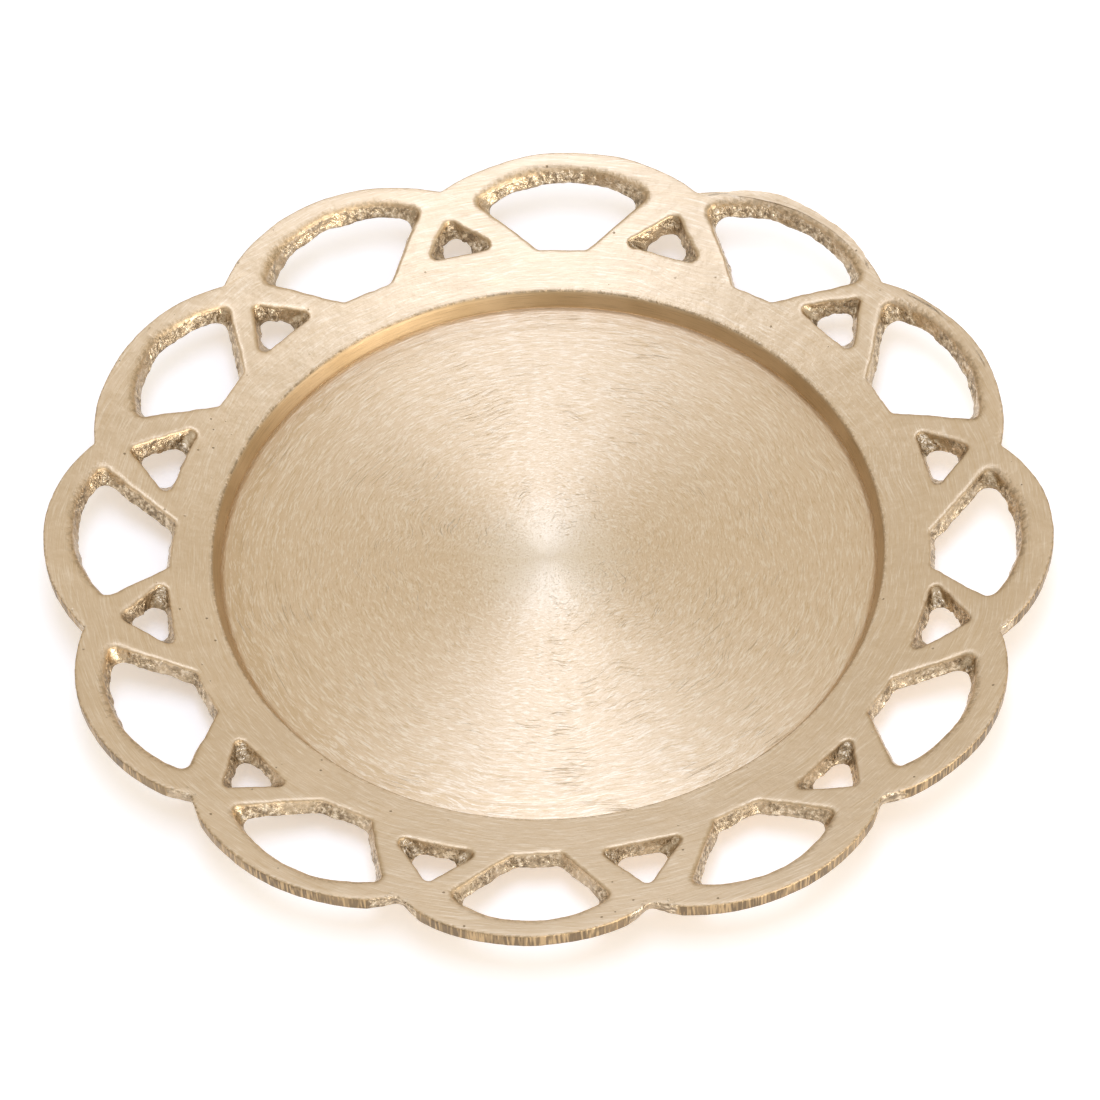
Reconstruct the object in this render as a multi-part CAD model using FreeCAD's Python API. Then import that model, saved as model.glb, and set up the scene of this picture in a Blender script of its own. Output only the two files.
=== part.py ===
"""Cast brass tray: a turned well inside an openwork rim of twelve scallops.

The tray is one casting.  It is modelled whole, then divided along the changes
of section into its floor, its base wall, its ring, its struts and its arches,
which meet face to face.  Millimetres, +Z up, origin at the centre of the flat
underside.
"""
import FreeCAD, Part

import math
import os

# ---- driving dimensions, mm ------------------------------------------------
TRAY_DIAMETER = 140.0         # across two opposite scallops
SCALLOPS = 12

WELL_RADIUS = 47.0            # at the top edge of the turned well
WELL_DEPTH = 2.4
WELL_WALL_TAPER = 0.95        # how far the well wall leans in on its way down
WELL_EDGE_BREAK = 0.25        # chamfer on the top edge of the well
FLOOR_THICKNESS = 2.0
BASE_WALL = 1.6               # metal left around the well under the ring
BASE_EDGE_BREAK = 0.4

RIM_THICKNESS = 2.5
RIM_SLOPE = 0.19              # rise of the rim for each mm outward

SCALLOP_RADIUS = 25.9         # outer arc of one scallop
NOTCH_FILLET = 0.9            # soft bottom of the notch between two scallops
ARCH_WIDTH = 3.8              # at the crown of the scallop
ARCH_INNER_RADIUS = 18.1      # outer side of the large hole

RING_TO_HOLE = 6.3            # well edge to the flat side of a large hole
HOLE_FLAT_HALF = 3.6          # half of that flat side
HOLE_CORNER_HALF = 12.1       # half width of the large hole at its outer corners
RING_TO_TRIANGLE = 7.0        # well edge to the base of a small triangle
TRIANGLE_BASE_HALF = 6.35
JUNCTION = 4.45               # solid metal from a triangle's apex to the notch
HOLE_DRAFT = 0.75             # how far every hole closes in over the rim
HOLE_CORNER_FILLET = 0.9
TRIANGLE_CORNER_FILLET = 0.6

OUTER_EDGE_ROUND = 0.55       # rounded top edge of the scallops
ROOT_ALLOWANCE = 0.2          # ring kept past the drafted sides of the holes
TOOL_OVERRUN = 3.0            # cutters run this far past the metal

# ---- what follows from them ------------------------------------------------
SECTOR = 2.0 * math.pi / SCALLOPS
HALF_SECTOR = SECTOR / 2.0
TRAY_RADIUS = TRAY_DIAMETER / 2.0
SCALLOP_CENTRE = TRAY_RADIUS - SCALLOP_RADIUS
ARCH_INNER_CENTRE = TRAY_RADIUS - ARCH_WIDTH - ARCH_INNER_RADIUS
NOTCH_CENTRE = SCALLOP_CENTRE * math.cos(HALF_SECTOR) + math.sqrt(
    (SCALLOP_RADIUS + NOTCH_FILLET) ** 2 - (SCALLOP_CENTRE * math.sin(HALF_SECTOR)) ** 2)
NOTCH_RADIUS = NOTCH_CENTRE - NOTCH_FILLET
HOLE_FLAT_Y = WELL_RADIUS + RING_TO_HOLE
HOLE_CORNER_Y = ARCH_INNER_CENTRE + math.sqrt(ARCH_INNER_RADIUS ** 2 - HOLE_CORNER_HALF ** 2)
TRIANGLE_BASE_Y = WELL_RADIUS + RING_TO_TRIANGLE
TRIANGLE_APEX_Y = NOTCH_RADIUS - JUNCTION
WELL_FOOT_RADIUS = WELL_RADIUS - WELL_WALL_TAPER
BASE_RADIUS = WELL_RADIUS + BASE_WALL
FLOOR_TOP = FLOOR_THICKNESS
WELL_TOP = FLOOR_TOP + WELL_DEPTH
RING_RADIUS = TRIANGLE_BASE_Y + HOLE_DRAFT + ROOT_ALLOWANCE
REACH = TRAY_RADIUS + TOOL_OVERRUN


def vec(x, y, z=0.0):
    """A point or direction."""
    return FreeCAD.Vector(x, y, z)


def polar(radius, angle, z=0.0):
    """A point at a radius and an angle measured from +Y towards +X."""
    return vec(radius * math.sin(angle), radius * math.cos(angle), z)


def turned(shape, angle):
    """A copy turned about Z from +Y towards +X."""
    copy = shape.copy()
    copy.rotate(vec(0, 0), vec(0, 0, 1), -math.degrees(angle))
    return copy


def rim_top(radius):
    """Height of the rim's top face at a radius."""
    return WELL_TOP + RIM_SLOPE * (radius - WELL_RADIUS)


def rim_bottom(radius):
    """Height of the rim's underside at a radius."""
    return rim_top(radius) - RIM_THICKNESS


def revolved(profile):
    """A solid of revolution from (radius, z) points."""
    points = [vec(r, 0, z) for r, z in profile]
    face = Part.Face(Part.makePolygon(points + points[:1]))
    return face.revolve(vec(0, 0), vec(0, 0, 1), 360)


def scallop_outline():
    """The closed outer outline: large arcs joined by small concave arcs."""
    reach = math.atan2(NOTCH_CENTRE * math.sin(HALF_SECTOR),
                       NOTCH_CENTRE * math.cos(HALF_SECTOR) - SCALLOP_CENTRE)
    edges = []
    for index in range(SCALLOPS):
        middle = index * SECTOR
        centre = polar(SCALLOP_CENTRE, middle)
        ends = [centre + polar(SCALLOP_RADIUS, middle + side * reach) for side in (-1, 1)]
        edges.append(Part.Arc(ends[0], polar(TRAY_RADIUS, middle), ends[1]).toShape())
        after = middle + SECTOR
        other = polar(SCALLOP_CENTRE, after) + polar(SCALLOP_RADIUS, after - reach)
        notch = polar(NOTCH_RADIUS, middle + HALF_SECTOR)
        edges.append(Part.Arc(ends[1], notch, other).toShape())
    return Part.Wire(Part.__sortEdges__(edges))


def line_meets(p, u, q, v):
    """Where the line p + s*u crosses the line q + t*v."""
    cross = u.x * v.y - u.y * v.x
    gap = q - p
    return p + u * ((gap.x * v.y - gap.y * v.x) / cross)


def corner(point, before, after, radius):
    """Start, middle and end of the arc that rounds a corner between two lines."""
    a = (before - point).normalize()
    b = (after - point).normalize()
    half = math.acos(max(-1.0, min(1.0, a.dot(b)))) / 2.0
    reach = radius / math.tan(half)
    bisector = (a + b).normalize()
    centre = point + bisector * (radius / math.sin(half))
    return point + a * reach, centre - bisector * radius, point + b * reach


def hole_wire(inset, z):
    """Large hole of the scallop on +Y, drawn in from its nominal size.

    One flat side lies along the ring, two straight sides follow the struts and
    the outer side is the arch's inner arc.  All four corners are rounded.
    """
    side = vec(HOLE_CORNER_HALF - HOLE_FLAT_HALF, HOLE_CORNER_Y - HOLE_FLAT_Y).normalize()
    normal = vec(-side.y, side.x)
    on_side = vec(HOLE_FLAT_HALF, HOLE_FLAT_Y) + normal * inset
    flat_y = HOLE_FLAT_Y + inset
    inner = line_meets(vec(0, flat_y), vec(1, 0), on_side, side)
    arc_centre = vec(0, ARCH_INNER_CENTRE)
    arc_radius = ARCH_INNER_RADIUS - inset
    # rounding circle inside the corner of the side and the arc
    rail = on_side + normal * HOLE_CORNER_FILLET
    along = side.dot(arc_centre - rail)
    foot = rail + side * along
    drop = foot.distanceToPoint(arc_centre)
    centre = foot + side * math.sqrt((arc_radius - HOLE_CORNER_FILLET) ** 2 - drop ** 2)
    on_line = centre - normal * HOLE_CORNER_FILLET
    outward = (centre - arc_centre).normalize()
    on_arc = arc_centre + outward * arc_radius
    middle = centre + (outward - normal).normalize() * HOLE_CORNER_FILLET
    low = corner(inner, vec(0, flat_y), on_line, HOLE_CORNER_FILLET)

    def mirrored(p):
        return vec(-p.x, p.y)

    edges = [
        Part.Arc(low[0], low[1], low[2]).toShape(),
        Part.LineSegment(low[2], on_line).toShape(),
        Part.Arc(on_line, middle, on_arc).toShape(),
        Part.Arc(on_arc, vec(0, ARCH_INNER_CENTRE + arc_radius), mirrored(on_arc)).toShape(),
        Part.Arc(mirrored(on_arc), mirrored(middle), mirrored(on_line)).toShape(),
        Part.LineSegment(mirrored(on_line), mirrored(low[2])).toShape(),
        Part.Arc(mirrored(low[2]), mirrored(low[1]), mirrored(low[0])).toShape(),
        Part.LineSegment(mirrored(low[0]), low[0]).toShape(),
    ]
    wire = Part.Wire(edges)
    wire.translate(vec(0, 0, z))
    return wire


def triangle_wire(inset, z):
    """Small triangle on +Y, drawn in from its nominal size, corners rounded."""
    slope = vec(TRIANGLE_BASE_HALF, TRIANGLE_BASE_Y - TRIANGLE_APEX_Y).normalize()
    normal = vec(slope.y, -slope.x)
    on_side = vec(0, TRIANGLE_APEX_Y) + normal * inset
    apex = line_meets(on_side, slope, vec(0, 0), vec(0, 1))
    right = line_meets(on_side, slope, vec(0, TRIANGLE_BASE_Y + inset), vec(1, 0))
    left = vec(-right.x, right.y)
    points = [apex, right, left]
    arcs = []
    for i, point in enumerate(points):
        arcs.append(corner(point, points[i - 1], points[(i + 1) % 3], TRIANGLE_CORNER_FILLET))
    edges = []
    for i, arc in enumerate(arcs):
        edges.append(Part.Arc(arc[0], arc[1], arc[2]).toShape())
        edges.append(Part.LineSegment(arc[2], arcs[(i + 1) % 3][0]).toShape())
    wire = Part.Wire(edges)
    wire.translate(vec(0, 0, z))
    return wire


def drafted_cutter(wire_at, middle_radius):
    """A cutter that closes in by HOLE_DRAFT from the rim's top to its underside."""
    top = rim_top(middle_radius)
    bottom = rim_bottom(middle_radius)
    rate = HOLE_DRAFT / RIM_THICKNESS
    over = 0.5 * RIM_THICKNESS
    high = wire_at(-rate * over, top + over)
    low = wire_at(HOLE_DRAFT + rate * over, bottom - over)
    return Part.makeLoft([low, high], True, True)


def ring_band(inner, outer):
    """A tall tube between two radii, used to divide the casting."""
    height = rim_top(REACH) + 2.0 * TOOL_OVERRUN
    band = Part.makeCylinder(outer, height, vec(0, 0, -TOOL_OVERRUN))
    if inner > 0.0:
        band = band.cut(Part.makeCylinder(inner, height, vec(0, 0, -TOOL_OVERRUN)))
    return band


def base_band():
    """The cylinder under the rim's lower face, used to divide off the base wall."""
    height = rim_bottom(BASE_RADIUS) + TOOL_OVERRUN
    return Part.makeCylinder(BASE_RADIUS, height, vec(0, 0, -TOOL_OVERRUN))


def wedge(start, end):
    """A tall wedge of the tray between two angles."""
    height = rim_top(REACH) + 2.0 * TOOL_OVERRUN
    tip = 2.0 * REACH
    face = Part.Face(Part.makePolygon([
        vec(0, 0), polar(tip, start), polar(tip, end), vec(0, 0)]))
    solid = face.extrude(vec(0, 0, height))
    solid.translate(vec(0, 0, -TOOL_OVERRUN))
    return solid


def make_floor():
    """Flat round floor of the well, down to the surface the tray stands on."""
    return Part.makeCylinder(WELL_FOOT_RADIUS, FLOOR_THICKNESS)


def make_rim_blank():
    """Turned rim before the holes are cut: base wall, well wall, ring and slope."""
    break_drop = WELL_TOP - WELL_EDGE_BREAK
    break_foot = WELL_RADIUS - WELL_WALL_TAPER * WELL_EDGE_BREAK / WELL_DEPTH
    break_top = WELL_RADIUS + WELL_EDGE_BREAK
    return revolved([
        (WELL_FOOT_RADIUS, 0.0),
        (BASE_RADIUS - BASE_EDGE_BREAK, 0.0),
        (BASE_RADIUS, BASE_EDGE_BREAK),
        (BASE_RADIUS, rim_bottom(BASE_RADIUS)),
        (REACH, rim_bottom(REACH)),
        (REACH, rim_top(REACH)),
        (break_top, rim_top(break_top)),
        (break_foot, break_drop),
        (WELL_FOOT_RADIUS, FLOOR_TOP),
    ])


def make_sector():
    """One sector of the rim, centred on +Y, from the well to the outer edge."""
    height = rim_top(REACH) + 2.0 * TOOL_OVERRUN
    outline = Part.Face(scallop_outline()).extrude(vec(0, 0, height))
    outline.translate(vec(0, 0, -TOOL_OVERRUN))
    rim = make_rim_blank().common(outline)
    rim = rim.makeFillet(OUTER_EDGE_ROUND, outer_top_edges(rim))
    sector = rim.common(wedge(-HALF_SECTOR, HALF_SECTOR))
    middle = (HOLE_FLAT_Y + HOLE_CORNER_Y) / 2.0
    sector = sector.cut(drafted_cutter(hole_wire, middle))
    triangle_middle = (TRIANGLE_BASE_Y + TRIANGLE_APEX_Y) / 2.0
    triangle = drafted_cutter(triangle_wire, triangle_middle)
    for side in (-1, 1):
        sector = sector.cut(turned(triangle, side * HALF_SECTOR))
    return sector


def outer_top_edges(rim):
    """The edges where the outer wall meets the top face of the rim."""
    found = []
    for edge in rim.Edges:
        box = edge.BoundBox
        middle = edge.valueAt((edge.FirstParameter + edge.LastParameter) / 2.0)
        radius = math.hypot(middle.x, middle.y)
        if box.ZLength < 0.9 * RIM_THICKNESS and radius > NOTCH_RADIUS - 0.1:
            if abs(middle.z - rim_top(radius)) < 0.05:
                found.append(edge)
    return found


def export(shape, name):
    """Write one node, checked to be sound closed solids."""
    solids = shape.Solids
    body = solids[0] if len(solids) == 1 else Part.makeCompound(solids)
    if not solids or not body.isValid():
        raise ValueError("bad solid: " + name)
    body.exportStep("parts/" + name + ".step")
    print("%-18s solids %d  volume %.1f mm3" % (name, len(solids), body.Volume))


def main():
    """Build every node of the tray."""
    os.makedirs("parts", exist_ok=True)
    export(make_floor(), "well_floor")
    sector = make_sector()
    inner = sector.common(ring_band(0.0, RING_RADIUS))
    ring = inner
    for index in range(1, SCALLOPS):
        ring = ring.fuse(turned(inner, index * SECTOR))
    ring = ring.removeSplitter()
    export(ring.common(base_band()), "base_wall")
    export(ring.cut(base_band()), "well_ring")
    struts = sector.common(ring_band(RING_RADIUS, TRIANGLE_APEX_Y))
    left = struts.common(wedge(-HALF_SECTOR, 0.0))
    right = struts.common(wedge(0.0, HALF_SECTOR))
    arch = sector.common(ring_band(TRIANGLE_APEX_Y, REACH))
    for index in range(SCALLOPS):
        number = "%02d" % (index + 1)
        angle = index * SECTOR
        export(turned(left, angle), "strut_left_" + number)
        export(turned(right, angle), "strut_right_" + number)
        export(turned(arch, angle), "arch_" + number)
    print("notch radius %.2f, triangle apex %.2f, overall height %.2f"
          % (NOTCH_RADIUS, TRIANGLE_APEX_Y, rim_top(TRAY_RADIUS)))


main()
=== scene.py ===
"""Cast brass tray with a turned well and an openwork rim of twelve scallops.

The rim is one continuous skin: a brushed top face, as-cast walls inside the
holes and a filed outer edge.  The floor of the well is a turned disc.  Sizes
in the classes are millimetres and the meshes are metres, +Z up.
"""

import logging
import math
from dataclasses import dataclass, field
from enum import Enum
from typing import Dict, List, Optional, Sequence, Tuple, Union

import bpy
import numpy as np
from mathutils import Matrix, Vector, noise
from mathutils.geometry import delaunay_2d_cdt

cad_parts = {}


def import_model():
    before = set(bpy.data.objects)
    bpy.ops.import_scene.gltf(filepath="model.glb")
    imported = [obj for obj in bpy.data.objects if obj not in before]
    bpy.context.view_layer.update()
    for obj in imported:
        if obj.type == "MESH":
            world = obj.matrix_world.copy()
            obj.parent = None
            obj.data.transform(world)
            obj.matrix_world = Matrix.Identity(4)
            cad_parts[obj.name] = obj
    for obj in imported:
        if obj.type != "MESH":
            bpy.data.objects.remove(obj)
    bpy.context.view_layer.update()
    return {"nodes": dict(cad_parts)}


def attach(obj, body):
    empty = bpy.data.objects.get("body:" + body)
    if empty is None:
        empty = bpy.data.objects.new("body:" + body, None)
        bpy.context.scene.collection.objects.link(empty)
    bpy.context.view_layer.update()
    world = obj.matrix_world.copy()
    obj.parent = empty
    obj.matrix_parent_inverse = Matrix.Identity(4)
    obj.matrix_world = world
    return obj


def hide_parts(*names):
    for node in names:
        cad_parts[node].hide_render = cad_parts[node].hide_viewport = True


LOG = logging.getLogger("brass_tray")
MM = 0.001
SCALLOPS = 12
TURN = 2.0 * math.pi
SECTOR = TURN / SCALLOPS
ROUND_BRUSHING = 0.25  # turn that lays the brushing round the axis
AXIS_CORE = 0.3  # mm from the axis inside which strokes tighten no more
XY = Tuple[float, float]
RGB = Tuple[float, float, float]
Noise = Tuple[float, float, float]


# ---- shader graph ----------------------------------------------------------
class Value:
    """A shader number that arithmetic on it turns into Math nodes."""

    def __init__(self, graph: "Graph", socket: bpy.types.NodeSocket) -> None:
        """Wrap one output socket."""
        self.graph = graph
        self.socket = socket

    def _math(self, operation: str, *operands: "Number", clamp: bool = False) -> "Value":
        """Add one Math node.

        Args:
            operation: The Math node's operation.
            operands: Its inputs in order.
            clamp: Whether the result stays between 0 and 1.

        Returns:
            The node's result.
        """
        node = self.graph.node("ShaderNodeMath", {"operation": operation, "use_clamp": clamp},
                               dict(enumerate(operands)))
        return Value(self.graph, node.outputs[0])

    def __add__(self, other: "Number") -> "Value":
        """Sum."""
        return self._math("ADD", self, other)

    __radd__ = __add__

    def __mul__(self, other: "Number") -> "Value":
        """Product."""
        return self._math("MULTIPLY", self, other)

    __rmul__ = __mul__

    def __sub__(self, other: "Number") -> "Value":
        """Difference."""
        return self._math("SUBTRACT", self, other)

    def __rsub__(self, other: "Number") -> "Value":
        """Difference taken from a plain number."""
        return self._math("SUBTRACT", other, self)

    def __truediv__(self, other: "Number") -> "Value":
        """Quotient."""
        return self._math("DIVIDE", self, other)

    def __pow__(self, other: "Number") -> "Value":
        """Power."""
        return self._math("POWER", self, other)

    def most(self, other: "Number") -> "Value":
        """The larger of two."""
        return self._math("MAXIMUM", self, other)

    def clamped(self) -> "Value":
        """Kept between 0 and 1."""
        return self._math("ADD", self, 0.0, clamp=True)

    def sine(self) -> "Value":
        """Sine of an angle in radians."""
        return self._math("SINE", self)

    def ramp(self, low: float, high: float) -> "Value":
        """0 up to low, 1 from high, smooth between.

        Args:
            low: Where it leaves 0.
            high: Where it reaches 1; it may be below low.

        Returns:
            The smooth step.
        """
        node = self.graph.node(
            "ShaderNodeMapRange",
            {"interpolation_type": "SMOOTHSTEP", "clamp": True},
            {"Value": self, "From Min": low, "From Max": high})
        return Value(self.graph, node.outputs[0])


Number = Union[Value, float]
Place = Tuple[Value, Value, Value]


def rgba(colour: object) -> object:
    """A plain colour with its alpha; a socket as it is."""
    return (*colour, 1.0) if isinstance(colour, tuple) else colour


@dataclass(frozen=True)
class Strokes:
    """One set of short brush strokes that circle the axis.

    They are counted in a radian around and in a millimetre of radius across,
    lean says how far they stray from true circles in mm, and seed picks
    another pattern.  The drift numbers say how soon the straying changes, in a
    radian around and in a millimetre along the radius.
    """

    around: float
    across: float
    lean: float
    seed: float
    drift_around: float = 3.0
    drift_along: float = 0.04


class Graph:
    """One tree of shader nodes."""

    def __init__(self, tree: bpy.types.NodeTree) -> None:
        """Start with the tree empty.

        Args:
            tree: The tree of a material or of the world.
        """
        self.tree = tree
        self.tree.nodes.clear()
        self.material: Optional[bpy.types.Material] = None
        self._place: Optional[Place] = None

    @classmethod
    def of_material(cls, name: str) -> "Graph":
        """Start a new material.

        Args:
            name: The material's name.

        Returns:
            Its empty tree.
        """
        material = bpy.data.materials.new(name)
        material.use_nodes = True
        graph = cls(material.node_tree)
        graph.material = material
        return graph

    def node(self, kind: str, settings: Optional[dict] = None,
             inputs: Optional[dict] = None) -> bpy.types.Node:
        """Add any node.

        Args:
            kind: The node's type.
            settings: Properties, set first.
            inputs: Socket name or index to a plain value, a Value or a socket.

        Returns:
            The new node.
        """
        made = self.tree.nodes.new(kind)
        for key, value in (settings or {}).items():
            setattr(made, key, value)
        for key, value in (inputs or {}).items():
            socket = made.inputs[key]
            if isinstance(value, Value):
                self.tree.links.new(value.socket, socket)
            elif isinstance(value, bpy.types.NodeSocket):
                self.tree.links.new(value, socket)
            else:
                socket.default_value = value
        return made

    def value(self, kind: str, output: Union[str, int], settings: Optional[dict] = None,
              inputs: Optional[dict] = None) -> Value:
        """Add a node and take one of its outputs as a number."""
        return Value(self, self.node(kind, settings, inputs).outputs[output])

    def attribute(self, name: str) -> Value:
        """A number stored on the mesh's points."""
        return self.value("ShaderNodeAttribute", "Fac", {"attribute_name": name})

    def parts(self, vector: bpy.types.NodeSocket) -> Place:
        """A vector's X, Y and Z."""
        made = self.node("ShaderNodeSeparateXYZ", None, {0: vector})
        return tuple(Value(self, output) for output in made.outputs)

    def place(self) -> Place:
        """The shading point in object space, in millimetres.

        Returns:
            Its X, Y and Z, from the same nodes each time.
        """
        if self._place is None:
            coords = self.node("ShaderNodeTexCoord")
            scaled = self.node("ShaderNodeVectorMath", {"operation": "SCALE"},
                               {0: coords.outputs["Object"], "Scale": 1.0 / MM})
            self._place = self.parts(scaled.outputs[0])
        return self._place

    def radius(self) -> Value:
        """Distance from the tray's axis, in mm."""
        x, y, _ = self.place()
        return (x * x + y * y) ** 0.5

    def direction(self) -> Place:
        """X, Y and Z of where a ray that leaves the scene goes."""
        return self.parts(self.node("ShaderNodeTexCoord").outputs["Generated"])

    def strokes(self, kind: Strokes) -> Value:
        """Short brush strokes that circle the axis.

        Args:
            kind: How many, how long and how straight.

        Returns:
            The strokes, about 0.5 on average.
        """
        x, y, _ = self.place()
        radius = self.radius().most(AXIS_CORE)
        cos, sin = x / radius, y / radius
        drift = self.grain(cos * kind.drift_around, sin * kind.drift_around,
                           radius * kind.drift_along + kind.seed, detail=1.0) - 0.5
        radius = radius + drift * kind.lean
        return self.grain(radius * kind.across, cos * kind.around,
                          sin * kind.around + kind.seed, detail=3.0, roughness=0.7)

    def vector(self, x: Number, y: Number, z: Number) -> bpy.types.NodeSocket:
        """Three numbers as one vector."""
        return self.node("ShaderNodeCombineXYZ", None, {0: x, 1: y, 2: z}).outputs[0]

    def grain(self, x: Number, y: Number, z: Number, scale: float = 1.0, detail: float = 2.0,
              roughness: float = 0.5, warp: float = 0.0) -> Value:
        """Smooth noise at a place.

        Args:
            x, y, z: The place.
            scale: Features per unit of the place.
            detail: Octaves.
            roughness: Strength of the finer octaves.
            warp: Distortion.

        Returns:
            The noise, about 0.5 on average.
        """
        return self.value("ShaderNodeTexNoise", "Fac", None, {
            "Vector": self.vector(x, y, z), "Scale": scale, "Detail": detail,
            "Roughness": roughness, "Distortion": warp})

    def cells(self, x: Number, y: Number, z: Number, scale: float) -> Value:
        """Distance to the nearest of scattered points, scale of them in a unit."""
        return self.value("ShaderNodeTexVoronoi", "Distance", {"feature": "F1"},
                          {"Vector": self.vector(x, y, z), "Scale": scale})

    def mix(self, factor: Number, low: object, high: object) -> bpy.types.NodeSocket:
        """Blend two colours.

        Args:
            factor: 0 for low, 1 for high.
            low: A colour or a colour socket.
            high: A colour or a colour socket.

        Returns:
            The blended colour.
        """
        made = self.node("ShaderNodeMix", {"data_type": "RGBA"},
                         {0: factor, 6: rgba(low), 7: rgba(high)})
        return made.outputs[2]

    def bump(self, height: Number, depth_mm: float) -> bpy.types.NodeSocket:
        """The normal of a relief whose unit of height is depth_mm deep."""
        return self.node("ShaderNodeBump", None, {
            "Height": height, "Distance": depth_mm * MM, "Strength": 1.0}).outputs[0]

    def metal(self, colour: object, rough: Number, normal: bpy.types.NodeSocket,
              brushed: float = 0.0) -> bpy.types.NodeSocket:
        """A bare metal shader.

        Args:
            colour: Base colour.
            rough: Roughness.
            normal: Normal.
            brushed: Anisotropy of a turned or brushed face, around the axis.

        Returns:
            The shader socket.
        """
        return self.node("ShaderNodeBsdfPrincipled", None, {
            "Base Color": colour, "Roughness": rough, "Metallic": 1.0,
            "Anisotropic": brushed, "Normal": normal,
            "Anisotropic Rotation": ROUND_BRUSHING if brushed else 0.0}).outputs[0]

    def blend(self, factor: Number, low: object, high: object) -> bpy.types.NodeSocket:
        """Blend two shaders."""
        return self.node("ShaderNodeMixShader", None, {0: factor, 1: low, 2: high}).outputs[0]

    def finish(self, shader: object) -> bpy.types.Material:
        """Connect the surface and hand over the material."""
        self.node("ShaderNodeOutputMaterial", None, {"Surface": shader})
        return self.material


# ---- finishes --------------------------------------------------------------
@dataclass(frozen=True)
class BrassTones:
    """Colours of bare brass in its different states; some of them also serve as painted light and
    shade.
    """

    brushed: RGB = (0.77, 0.595, 0.385)
    bright: RGB = (0.88, 0.75, 0.56)
    turned: RGB = (0.76, 0.585, 0.38)
    golden: RGB = (0.62, 0.44, 0.24)
    belted: RGB = (0.68, 0.52, 0.33)
    cast: RGB = (0.60, 0.47, 0.31)
    # Painted shade for the pits and file grooves and low on the hole walls.
    crevice_shade: RGB = (0.19, 0.135, 0.08)
    # Painted shade: the outer edge's brass, darkened well below bare brass.
    filed: RGB = (0.34, 0.24, 0.13)
    tarnish: RGB = (0.20, 0.14, 0.075)
    # Painted shade: the well's wall, darker than bare brass.
    shaded_wall_gold: RGB = (0.52, 0.375, 0.21)


@dataclass(frozen=True)
class TurnedFinish:
    """Lathe-turned floor of the well, with short strokes of a hand pad.

    Sizes in mm; the other numbers say how strongly each mark, the painted highlight in the middle
    and the painted shade on the left show.
    """

    tones: BrassTones = BrassTones()
    brushed: float = 0.86
    roughness: float = 0.375
    stroke_depth: float = 0.036
    fine: Strokes = Strokes(12.0, 5.0, 1.0, 1.0)
    one_way: Strokes = Strokes(16.0, 3.6, 5.0, 4.0)
    other_way: Strokes = Strokes(18.0, 4.0, -5.6, 9.0)
    scratches: Strokes = Strokes(5.0, 6.0, 6.0, 21.0)
    # Painted highlight: radii in mm where the lightened middle of the floor starts and where it is
    # full.
    middle: XY = (15.0, 1.0)
    edge: XY = (35.0, 43.0)
    lit_strokes: float = 0.75
    middle_highlight: float = 0.95
    dark_strokes: float = 0.62
    bands_and_shade: float = 0.55
    dark_scratches: float = 0.38

    def _left_shaded_bands(self, g: Graph, rings: Value, edge: Value) -> Value:
        """Turning marks near the wall, darkened mostly on the left as painted shade.

        Args:
            g: The material's tree.
            rings: Uneven rings.
            edge: 1 near the wall.

        Returns:
            How much each point is in a band.
        """
        x, y, _ = g.place()
        bands = ((g.radius() * 1.15 + rings * 3.0).sine() * 0.4 + rings) * edge
        # Painted shade: the turning marks are darkened mostly on the left of the floor.
        return bands * (x * -1.0 - y * 0.4).ramp(-5.0, 32.0)

    def material(self) -> bpy.types.Material:
        """Build the turned brass.

        Returns:
            The material.
        """
        g = Graph.of_material("turned_brass")
        tones = self.tones
        x, y, z = g.place()
        radius = g.radius()
        fine, one, two = (g.strokes(k) for k in (self.fine, self.one_way, self.other_way))
        rings = g.grain(radius, 0.0, 3.0, 0.9, 2.0, 0.6)
        middle, edge = radius.ramp(*self.middle), radius.ramp(*self.edge)
        bands = self._left_shaded_bands(g, rings, edge)
        cloud = g.grain(x, y, z, 0.06, 2.0, 0.5)
        patch = g.grain(x, y, z, 0.11, 2.0, 0.5)
        scratch = g.strokes(self.scratches).ramp(0.42, 0.33) * patch.ramp(0.47, 0.60)
        light = (one.ramp(0.53, 0.63) + two.ramp(0.55, 0.64)).clamped()
        dark = (fine.ramp(0.45, 0.34) + two.ramp(0.43, 0.34)).clamped()
        tone = g.mix((cloud - 0.35) * 1.2, tones.turned, tones.brushed)
        # The turning marks darken the floor near the wall, partly real marks, partly painted shade
        # on the left.
        tone = g.mix((bands * self.bands_and_shade).clamped(), tone, tones.golden)
        # Painted highlight: the middle of the floor is lightened towards the bright tone, together
        # with the light strokes.
        lit = light * self.lit_strokes + middle * self.middle_highlight
        tone = g.mix(lit.clamped(), tone, tones.bright)
        tone = g.mix(dark * self.dark_strokes, tone, tones.golden)
        tone = g.mix(scratch * self.dark_scratches, tone, tones.tarnish)
        height = fine * 0.5 + one * 0.6 + two * 0.6 + rings * (edge * 1.2 + 0.4) - scratch * 0.4
        rough = (fine - 0.5) * 0.25 + self.roughness
        return g.finish(g.metal(tone, rough, g.bump(height, self.stroke_depth), self.brushed))


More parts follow.
